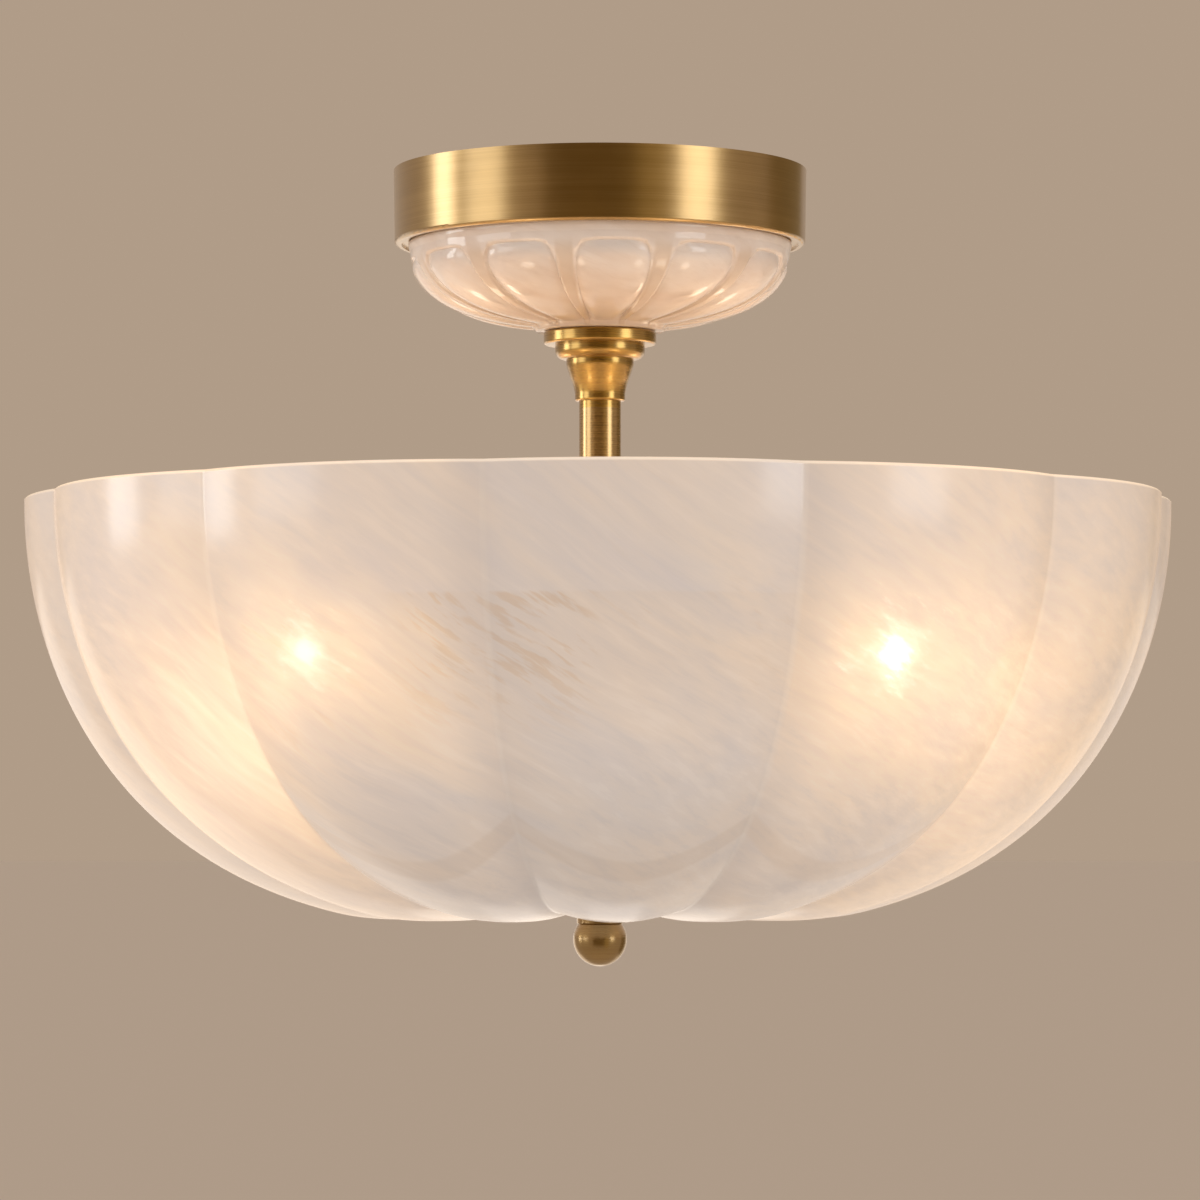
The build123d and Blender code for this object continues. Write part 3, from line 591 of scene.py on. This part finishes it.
def bulb_glow(finish, place, side, front, veil):
    """Warm glow of the four bulbs, strongest where the wall faces a bulb and on the side lobes."""
    x, y, z = finish.parts(place)
    normal = finish.node("TexCoord", output=1)
    light = 0.0
    for side_x, side_y in ((1, 1), (1, -1), (-1, 1), (-1, -1)):
        globe = (side_x * BULB_SIDE, side_y * BULB_SIDE, BULB_AXIS_Z)
        away = finish.vector("SUBTRACT", place, globe)
        reach = finish.length(away)
        facing = abs(finish.vector("DOT_PRODUCT", away, normal, 1)) / reach
        light = light + facing ** GLOW_POWER / (reach * reach + GLOBE_SOFTNESS)
    light = light * GLOW_STRENGTH - GLOW_CUT + side * finish.span(z, *SIDE_GLOW_TOP) * SIDE_GLOW
    front_share = front * finish.span(z, *FRONT_GLOW_FADE)
    side_share = side * finish.span(z, *SIDE_GLOW_RISE)
    from_rim = finish.vector("SUBTRACT", place, (0.0, 0.0, BOWL_RIM_Z))
    inside = finish.span(finish.vector("DOT_PRODUCT", normal, from_rim, 1), 0.0, -0.02)
    light = light * veil * (front_share + side_share) * (inside * INSIDE_GLOW + 1.0)
    return finish.ramp(light, (0.0, (0.0, 0.0, 0.0)), (0.10, (0.100, 0.062, 0.034)),
                       (0.25, (0.250, 0.144, 0.056)), (0.42, (0.420, 0.238, 0.092)),
                       (1.0, (0.94, 0.65, 0.33)))


def hot_spots(finish, place, share, flank, veil):
    """The ragged bright spot that each bulb makes on the wall, and the haze around it."""
    ragged = finish.noise(finish.stretched(place, (60.0, 60.0, 190.0), (0.0, BOWL_SLANT, 0.0)),
                          detail=4.0, roughness=0.65)
    hot = 0.0
    halo = 0.0
    for side_x, side_y, power in SPOT_POWERS:
        spot = (side_x * SPOT_PLACE[0], side_y * SPOT_PLACE[1], SPOT_PLACE[2])
        reach = finish.vector("DISTANCE", place, spot, 1) * (ragged * 2.4 - 0.20)
        hot = hot + power / (1.0 + (reach / SPOT_SIZE) ** 2.6)
        away = finish.vector("SUBTRACT", place, spot)
        wide = finish.length(finish.vector("MULTIPLY", away, HALO_FLATTENING))
        halo = halo + 1.0 / (1.0 + (wide / HALO_SIZE) ** 3.0)
    halo = halo * veil * (flank * 0.72 + 0.28) * (1.0 - finish.span(share, 0.50, 0.95) * 0.65)
    spots = finish.ramp(hot, (0.0, (0.0, 0.0, 0.0)), (0.10, (0.060, 0.034, 0.010)),
                        (0.40, (0.34, 0.26, 0.185)), (0.75, (1.2, 1.1, 1.0)))
    haze = finish.ramp(halo, (0.0, (0.0, 0.0, 0.0)), (1.0, (0.275, 0.162, 0.068)))
    return finish.lighten(spots, haze)


def bowl_stone():
    """Glossy pale stone, veined on the slant, lit through by the four bulbs."""
    finish = Finish("bowl_stone", IOR=1.5, Emission_Strength=1.0)
    place = finish.place()
    x, y, z = finish.parts(place)
    angle = angle_round(x, y)
    veins = stone_veins(finish, place, 1.0, BOWL_SLANT)
    clouds, streaks, flecks, sway = veins
    finish.feed("Base Color", bowl_colour(finish, veins, place, angle))

    side, front, flank = bowl_masks(finish, angle)
    veil = finish.span(clouds, 0.32, 0.68, 0.88, 1.10) * finish.span(streaks, 0.32, 0.68, 0.92, 1.07)
    glow = bulb_glow(finish, place, side, front, veil)
    lit = finish.lighten(glow, hot_spots(finish, place, lobe_share(angle), flank, veil))
    rim_light = finish.mix(finish.span(z, *RIM_GLOW), (0.0, 0.0, 0.0), (0.26, 0.19, 0.11))
    finish.feed("Emission Color", finish.lighten(lit, rim_light))
    finish.feed("Roughness", 0.14 + streaks * 0.10)
    finish.bump(streaks * 0.5 + clouds * 0.5, 0.04, 0.002)
    return finish.material


def dish_stone():
    """The same stone, finer and warmer, for the dish under the brass ring."""
    finish = Finish("dish_stone", IOR=1.5, Emission_Strength=1.0)
    place = finish.place()
    clouds, streaks, flecks, sway = stone_veins(finish, place, 0.45, DISH_SLANT)
    x, y, z = finish.parts(place)
    pale = finish.ramp(clouds, (0.34, (0.70, 0.600, 0.530)), (0.50, (0.755, 0.680, 0.625)),
                       (0.66, (0.79, 0.735, 0.695)))
    veined = finish.mix(finish.span(streaks, 0.48, 0.36, 0.0, 0.14), pale, (0.60, 0.50, 0.42))
    across = finish.span(lobe_share(angle_round(x, y)), *RIB_EDGE)
    rib = across * finish.span(z, *RIB_TOP) * (1.0 - finish.span(z, *RIB_FOOT))
    veined = finish.mix(rib * 0.55, veined, (0.58, 0.45, 0.33))
    # Painted shade: the dish is darker towards its foot by the collar.
    low = finish.span(z, *DISH_FOOT_SHADE)
    finish.feed("Base Color", finish.mix(low * 0.60, veined, (0.42, 0.32, 0.24)))
    # Painted light: a faint glow over the dish except at its foot.
    finish.feed("Emission Color", finish.mix(low, (0.012, 0.010, 0.010), (0.0, 0.0, 0.0)))
    finish.feed("Roughness", 0.03 + streaks * 0.04)
    finish.bump(clouds, 0.06, 0.001)
    return finish.material


# Meshes

def resampled(points, rows):
    """Points spaced evenly along a line through the given close points."""
    lengths = [0.0]
    for first, second in zip(points, points[1:]):
        lengths.append(lengths[-1] + hypot(second[0] - first[0], second[1] - first[1]))
    even = []
    place = 0
    for row in range(rows + 1):
        target = lengths[-1] * row / rows
        while place < len(lengths) - 2 and lengths[place + 1] < target:
            place += 1
        share = (target - lengths[place]) / (lengths[place + 1] - lengths[place])
        first, second = points[place], points[place + 1]
        even.append(tuple(a + (b - a) * share for a, b in zip(first, second)))
    return even


def with_normals(points):
    """Pairs each point of an open line with the unit normal on its outer side."""
    pairs = []
    last = len(points) - 1
    for place, point in enumerate(points):
        before = points[max(place - 1, 0)]
        after = points[min(place + 1, last)]
        along = (after[0] - before[0], after[1] - before[1])
        size = hypot(*along)
        pairs.append((point, (-along[1] / size, along[0] / size)))
    return pairs


def hermite(start, start_slope, end, end_slope, steps):
    """Cubic between two points of radius and depth, with the slope of depth over radius at each."""
    run = end[0] - start[0]
    points = []
    for step in range(1, steps + 1):
        t = step / steps
        depth = ((2 * t ** 3 - 3 * t ** 2 + 1) * start[1] + (t ** 3 - 2 * t ** 2 + t) * run * start_slope
                 + (3 * t ** 2 - 2 * t ** 3) * end[1] + (t ** 3 - t ** 2) * run * end_slope)
        points.append((start[0] + run * t, depth))
    return points


def bowl_ridge():
    """Ridge line of a lobe, as radius and height, from the rim to beside the rod hole."""
    depths = []
    for degree in range(BOWL_SIDE_DEGREES + 1):
        angle = radians(degree)
        depths.append((BOWL_RADIUS * cos(angle) ** (2 / BOWL_POWER), BOWL_DEPTH * sin(angle)))
    steepness = BOWL_DEPTH * depths[-1][0] ** (BOWL_POWER - 1) / BOWL_RADIUS ** BOWL_POWER
    slope = -BOWL_POWER / 2 * steepness / sin(radians(BOWL_SIDE_DEGREES))
    low = (BOWL_LOW_RADIUS, BOWL_LOW_DEPTH)
    seat = (BOWL_INNER_RADIUS, BOWL_RIM_Z - BOWL_SEAT_Z - BOWL_SEAT_RISE)
    depths += hermite(depths[-1], slope, low, 0.0, LOW_SIDE_STEPS)
    depths += hermite(low, 0.0, seat, BOWL_SEAT_SLOPE, FLOOR_STEPS)
    return [(radius, BOWL_RIM_Z - depth) for radius, depth in depths]


def bowl_wall_line(rows, thickness, share):
    """One face of the bowl's wall from the rim down, at a share of the way from ridge to crease."""
    line = []
    for (radius, height), (out, up) in with_normals(resampled(bowl_ridge(), rows)):
        reach = max(radius - BOWL_INNER_RADIUS, 0.0) / (BOWL_RADIUS - BOWL_INNER_RADIUS)
        sunk = LOBE_CREASE * reach ** CREASE_FADE * share ** 2 + thickness
        line.append((radius - out * sunk, height - up * sunk))
    return line


def bowl_section(share):
    """Closed outline of the wall: down the outside, through the hole, up the inside, over the rim."""
    outer = bowl_wall_line(BOWL_OUTER_ROWS, 0.0, share)
    inner = bowl_wall_line(BOWL_INNER_ROWS, BOWL_WALL, share)
    floor_z = BOWL_SEAT_Z + BOWL_WALL
    outer = [point for point in outer if point[0] > BOWL_SEAT_RADIUS]
    inner = [point for point in inner if point[0] > BOWL_SEAT_RADIUS]
    seat = [(BOWL_SEAT_RADIUS, BOWL_SEAT_Z), (BOWL_HOLE_RADIUS, BOWL_SEAT_Z)]
    floor = [(BOWL_HOLE_RADIUS, floor_z), (BOWL_SEAT_RADIUS, floor_z)]
    crown = []
    for step in range(1, RIM_STEPS):
        share_over = step / RIM_STEPS
        radius = inner[0][0] + (outer[0][0] - inner[0][0]) * share_over
        rise = RIM_CROWN * sin(pi * share_over) ** RIM_CROWN_POWER
        crown.append((radius, BOWL_RIM_Z + rise))
    return outer + seat + floor + inner[::-1] + crown


def ring_of_lobes(name, columns, section, finish):
    """Closed ring of lobes: one lobe is shaped from a grid and spun round in copies.

    section gives the outline of a column, from -1 to 1 across the lobe, as angle, radius and height.
    """
    rows = len(section(0.0))
    bpy.ops.mesh.primitive_grid_add(x_subdivisions=columns, y_subdivisions=rows, size=2.0)
    ring = bpy.context.object
    ring.name = name
    ring.data.name = name
    outlines = {}
    for vertex in ring.data.vertices:
        column = round((vertex.co.x + 1) * columns / 2)
        row = round((vertex.co.y + 1) * rows / 2)
        if column not in outlines:
            outlines[column] = section(2 * column / columns - 1)
        angle, radius, height = outlines[column][row % rows]
        vertex.co = (radius * cos(angle), radius * sin(angle), height)
    bpy.ops.object.mode_set(mode="EDIT")
    bpy.ops.mesh.select_all(action="SELECT")
    bpy.ops.mesh.spin(steps=LOBES - 1, dupli=True, angle=2 * pi * (LOBES - 1) / LOBES,
                      center=(0, 0, 0), axis=(0, 0, 1))
    bpy.ops.mesh.select_all(action="SELECT")
    bpy.ops.mesh.remove_doubles(threshold=WELD_DISTANCE)
    bpy.ops.mesh.normals_make_consistent(inside=False)
    bpy.ops.object.mode_set(mode="OBJECT")
    bpy.ops.object.shade_smooth_by_angle(angle=SHARP_ANGLE)
    ring.data.materials.append(finish)
    ring.select_set(False)
    return ring


def fluted_bowl(finish):
    """The large bowl of twelve lobes that meet in creases."""

    def section(column):
        share = sin(COLUMN_CROWDING * column) / sin(COLUMN_CROWDING)
        angle = LOBE_PHASE + pi / LOBES * share
        return [(angle, radius, height) for radius, height in bowl_section(abs(share))]

    return ring_of_lobes("fluted_bowl", BOWL_COLUMNS, section, finish)


def dish_wall_points(radius, depth, steps):
    """Points of the dish's plain outline, from its widest radius at the top down to the axis."""
    points = []
    for step in range(steps + 1):
        out = radius * cos(pi / 2 * step / steps) ** (2 / DISH_POWER)
        drop = depth * (1 - (out / radius) ** DISH_POWER) ** (1 / DISH_POWER)
        points.append((out, DISH_TOP_Z - drop))
    return points


def dish_line():
    """Plain outline of the dish's outside from its top edge to under the hub ring, with normals."""
    widest = DISH_RADIUS - DISH_LINE_START
    points = dish_wall_points(DISH_RADIUS, DISH_DEPTH, DISH_LINE_STEPS)
    points = [point for point in points if HUB_RING_RADIUS - DISH_WALL <= point[0] <= widest]
    return with_normals(resampled(points, DISH_LINE_ROWS))


DISH_LINE = dish_line()


def dish_at(along):
    """Point and outer direction at a share of the way down the dish's plain outline."""
    place = min(max(along, 0.0), 1.0) * (len(DISH_LINE) - 1)
    first = min(int(place), len(DISH_LINE) - 2)
    share = place - first
    pairs = zip(DISH_LINE[first], DISH_LINE[first + 1])
    return [tuple(a + (b - a) * share for a, b in zip(start, end)) for start, end in pairs]


def shares_down(wanted):
    """Shares of the dish's outline whose points are the wanted ones."""
    last = len(DISH_LINE) - 1
    return [row / last for row, (point, direction) in enumerate(DISH_LINE) if wanted(*point)]


BAND_START = shares_down(lambda radius, height: height < DISH_TOP_Z - DISH_BAND / 2)[0]
LINE_END = shares_down(lambda radius, height: radius > HUB_RING_RADIUS + HUB_RING_FILLET)[-1]


def flute_top(across):
    """Where a flute's rounded top lies at a share of the way from its middle to its rib."""
    rounded = (1 - across ** FLUTE_CORNER_POWER) ** (1 / FLUTE_CORNER_POWER)
    return FLUTE_TOP + FLUTE_CORNER * (1 - rounded)


def dish_outer_point(row, column):
    """Angle, radius and height of the dish's outside. Columns cross one flute, then its rib."""
    flute = column <= FLUTE_COLUMNS
    if flute:
        share = 2 * column / FLUTE_COLUMNS - 1
        across = abs(share)
    else:
        share = 2 * (column - FLUTE_COLUMNS) / RIB_COLUMNS - 1
        across = 1.0
    arch = flute_top(across)
    if row <= BAND_ROWS:
        along = BAND_START + (arch - BAND_START) * row / BAND_ROWS
        over_band = min((1 - row / BAND_ROWS) / BAND_BLEND, 1.0)
    else:
        along = arch + (LINE_END - arch) * (row - BAND_ROWS) / (DISH_ROWS - BAND_ROWS)
        over_band = 0.0
    (radius, height), (out, up) = dish_at(along)
    half_rib = RIB_HALF_ANGLE + RIB_FLARE * exp(-along / RIB_FLARE_LENGTH)
    half_flute = pi / LOBES - half_rib
    if flute:
        angle = half_flute * share
        over = over_band
    else:
        angle = half_flute + half_rib * (1 + share)
        over = max(over_band, min((1 - abs(share)) / RIB_ROUNDING, 1.0))
    if flute and row > BAND_ROWS:
        below = min((along - arch) / FLUTE_SHOULDER, 1.0)
        edge = across ** FLUTE_POWER + (1 - below) ** FLUTE_POWER
        sunk = GROOVE_DEPTH * min(edge, 1.0)
    else:
        sunk = GROOVE_DEPTH - RIB_RISE * sin(pi / 2 * over)
    left = (LINE_END + GROOVE_FADE_PAST - along) / GROOVE_FADE_LENGTH
    sunk *= min(left, 1.0) ** GROOVE_FADE_POWER
    return LOBE_PHASE + angle, radius - out * sunk, height - up * sunk


def fluted_dish(finish):
    """The trim dish: a plain band, twelve flutes with ribs between them, and a flat hub ring below."""
    columns = FLUTE_COLUMNS + RIB_COLUMNS
    hub_z = DISH_TOP_Z - DISH_DEPTH - HUB_RING_DROP
    hollow = dish_wall_points(DISH_RADIUS - DISH_WALL, DISH_DEPTH - DISH_WALL, HOLLOW_STEPS)
    hollow = [point for point in hollow if point[0] > DISH_HOLE_RADIUS]
    hollow.append((DISH_HOLE_RADIUS, DISH_TOP_Z - DISH_DEPTH + DISH_WALL))

    def section(column_share):
        column = round((column_share + 1) * columns / 2)
        fluted = [dish_outer_point(row, column) for row in range(DISH_ROWS + 1)]
        top_angle, angle = fluted[0][0], fluted[-1][0]
        outline = [(top_angle, DISH_RADIUS, DISH_TOP_Z), (top_angle, DISH_RADIUS, BAND_EDGE_Z)]
        outline += fluted
        for inset, rise in HUB_RING_EDGE:
            outline.append((angle, HUB_RING_RADIUS - inset, hub_z + rise))
        outline.append((angle, DISH_HOLE_RADIUS, hub_z))
        return outline + [(angle, radius, height) for radius, height in reversed(hollow)]

    return ring_of_lobes("fluted_dish", columns, section, finish)


# Finishes on the solid model's own pieces

def dress(node, material):
    """Puts one finish on a piece of the solid model."""
    slots = nodes[node].data.materials
    slots.clear()
    slots.append(material)


def four(*kinds):
    """Names of the four pieces of each kind, one for each arm."""
    return [f"{kind}_{number}" for kind in kinds for number in range(1, 5)]


def dress_frame():
    supply = lead_insulation("supply_lead_insulation", [BLACK_LEAD, WHITE_LEAD, GREEN_LEAD],
                             supply_colours)
    pairs = lead_insulation("socket_lead_insulation", [BLACK_LEAD, WHITE_LEAD], pair_colours)
    table = {
        turned_brass(): ["canopy_ring", "collar_disc", "collar_bead", "collar_bell", "stem_tube",
                         "lamp_hub", "hub_cover", "cup_washer", "ball_finial"],
        drawn_brass(): four("arm", "socket_cup"),
        plated_steel(): ["ceiling_strap", "threaded_nipple", "nipple_lock_nuts", "collar_grub_screws",
                         "stem_top_coupling", "stem_bottom_coupling", "stem_lock_nut", "hub_screws",
                         "arm_lock_nuts", "hanging_rod", "rod_nuts", "steel_washer"],
        black_rubber(): ["upper_rubber_washer", "lower_rubber_washer"],
        clear_silicone(): ["dish_gasket", "collar_pad"],
        green_screw(): ["ground_screw"],
        terminal_plastic(): ["terminal_block"],
        supply: ["supply_leads"],
        pairs: ["socket_leads"],
        porcelain(): four("socket_porcelain"),
        shell_brass(): ["socket_contacts"] + four("screw_shell"),
        cap_metal(): four("bulb_cap"),
        contact_solder(): four("bulb_tip"),
        frosted_glass(): four("bulb_glass"),
    }
    for material, names in table.items():
        for name in names:
            dress(name, material)


# Studio

BACKDROP = (0.435, 0.333, 0.247)
WORLD_LIGHT = (0.62, 0.60, 0.58)
FLOOR_PAINT = (0.693, 0.547, 0.420)
FLOOR_RADIUS = 900.0
FLOOR_Z = -4.6
CARD_Z = 0.2
CARD_HEIGHT = 5.0
SIDE_AIM = Vector((0.0, 0.0, -0.25))
LOW_AIM = Vector((0.0, 0.0, -0.30))
WHITE = (1.0, 1.0, 1.0)
WARM = (1.0, 0.91, 0.80)
COOL = (0.55, 0.80, 1.0)
CAMERA_PLACE = (0.0, -2.545, -0.350)
CAMERA_RISE = radians(2.80)
SENSOR_WIDTH = 36.0
LENS = 145.9


def studio_floor():
    """Plain pale floor, far below the light."""
    bpy.ops.mesh.primitive_circle_add(vertices=64, radius=FLOOR_RADIUS, fill_type="NGON",
                                      location=(0, 0, FLOOR_Z))
    floor = bpy.context.object
    floor.name = "studio_floor"
    finish = Finish("floor_paint", Roughness=0.9)
    finish.feed("Base Color", FLOOR_PAINT)
    floor.data.materials.append(finish.material)
    floor.select_set(False)


def studio_world():
    """Soft even light, and a plain pale warm background where the camera, metal or glass sees it."""
    world = bpy.data.worlds.new("studio")
    bpy.context.scene.world = world
    world.use_nodes = True
    tree = world.node_tree
    tree.nodes.clear()
    output = tree.nodes.new("ShaderNodeOutputWorld")
    mix = tree.nodes.new("ShaderNodeMixShader")
    light = tree.nodes.new("ShaderNodeBackground")
    light.inputs["Color"].default_value = (*WORLD_LIGHT, 1.0)
    seen = tree.nodes.new("ShaderNodeBackground")
    seen.inputs["Color"].default_value = (*BACKDROP, 1.0)
    path = tree.nodes.new("ShaderNodeLightPath")
    seeing = path.outputs["Is Camera Ray"]
    for ray in ("Is Glossy Ray", "Is Transmission Ray"):
        either = tree.nodes.new("ShaderNodeMath")
        either.operation = "MAXIMUM"
        tree.links.new(seeing, either.inputs[0])
        tree.links.new(path.outputs[ray], either.inputs[1])
        seeing = either.outputs[0]
    tree.links.new(seeing, mix.inputs[0])
    tree.links.new(light.outputs[0], mix.inputs[1])
    tree.links.new(seen.outputs[0], mix.inputs[2])
    tree.links.new(mix.outputs[0], output.inputs[0])


def out_from_stem(azimuth, distance, height):
    """Place round the stem. Azimuth 0 is the camera's side, 90 its right."""
    angle = radians(azimuth)
    return (distance * sin(angle), -distance * cos(angle), height)


def dark_card(name, azimuth, distance, width, tone):
    """Card that only metal and glass see, so that the brass has dark bands between its lights."""
    bpy.ops.mesh.primitive_plane_add(size=1.0, location=out_from_stem(azimuth, distance, CARD_Z),
                                     rotation=(radians(90), 0.0, radians(azimuth)))
    card = bpy.context.object
    card.name = name
    card.scale = (width, CARD_HEIGHT, 1.0)
    finish = Finish(name, Roughness=1.0, Emission_Strength=1.0)
    finish.feed("Base Color", (0.0, 0.0, 0.0))
    finish.feed("Emission Color", tone)
    card.data.materials.append(finish.material)
    card.visible_camera = False
    card.visible_diffuse = False
    card.visible_transmission = False
    card.visible_shadow = False
    card.select_set(False)


def soft_lamp(name, place, aim, width, tall, radiance, tone=WHITE):
    """Area lamp that faces a point of the light."""
    lamp = bpy.data.lights.new(name, "AREA")
    lamp.shape = "RECTANGLE"
    lamp.size = width
    lamp.size_y = tall
    lamp.color = tone
    lamp.energy = radiance * pi * width * tall
    box = bpy.data.objects.new(name, lamp)
    bpy.context.scene.collection.objects.link(box)
    box.location = place
    box.rotation_mode = "QUATERNION"
    box.rotation_quaternion = (aim - box.location).to_track_quat("-Z", "Y")
    box.visible_camera = False
    return box


def studio_lamps():
    """Cards and lamps as the highlights on the brass and the gloss of the bowl show them."""
    dark_card("front_card", azimuth=0, distance=3.6, width=4.4, tone=(0.150, 0.090, 0.028))
    dark_card("right_card", azimuth=128, distance=3.0, width=2.4, tone=(0.22, 0.148, 0.065))
    dark_card("right_glow_card", azimuth=30, distance=3.0, width=1.0, tone=(0.42, 0.30, 0.13))
    soft_lamp("left_box", out_from_stem(-95, 2.6, 0.25), SIDE_AIM, 0.70, 1.4, radiance=4.1)
    soft_lamp("front_left_box", out_from_stem(-66, 2.8, 0.25), SIDE_AIM, 1.2, 1.4, radiance=2.0)
    soft_lamp("right_box", out_from_stem(55, 2.6, 0.25), SIDE_AIM, 0.95, 1.4, radiance=3.0)
    soft_lamp("low_left_box", out_from_stem(-160, 2.4, -1.2), SIDE_AIM, 2.0, 2.0, 0.60, WARM)
    soft_lamp("low_right_box", out_from_stem(160, 2.4, -1.2), SIDE_AIM, 2.0, 2.0, 0.40, WARM)
    low_fill = soft_lamp("low_fill", (0.0, -0.9, -2.3), LOW_AIM, 1.6, 1.6, 1.6, COOL)
    rear_box = soft_lamp("rear_box", out_from_stem(165, 2.8, 0.6), SIDE_AIM, 1.2, 1.4, radiance=1.8)
    for unseen in (low_fill, rear_box):
        unseen.visible_glossy = False


def studio_camera():
    data = bpy.data.cameras.new("camera")
    data.sensor_width = SENSOR_WIDTH
    data.lens = LENS
    camera = bpy.data.objects.new("camera", data)
    bpy.context.scene.collection.objects.link(camera)
    camera.location = CAMERA_PLACE
    camera.rotation_euler = (radians(90) + CAMERA_RISE, 0.0, 0.0)
    bpy.context.scene.camera = camera


studio_camera()
studio_world()
studio_floor()
studio_lamps()
bpy.context.scene.view_settings.view_transform = "Standard"

dress_frame()

bowl = fluted_bowl(bowl_stone())
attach(bowl, "bowl")
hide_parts("stone_bowl")

dish = fluted_dish(dish_stone())
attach(dish, "canopy")
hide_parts("canopy_dish")
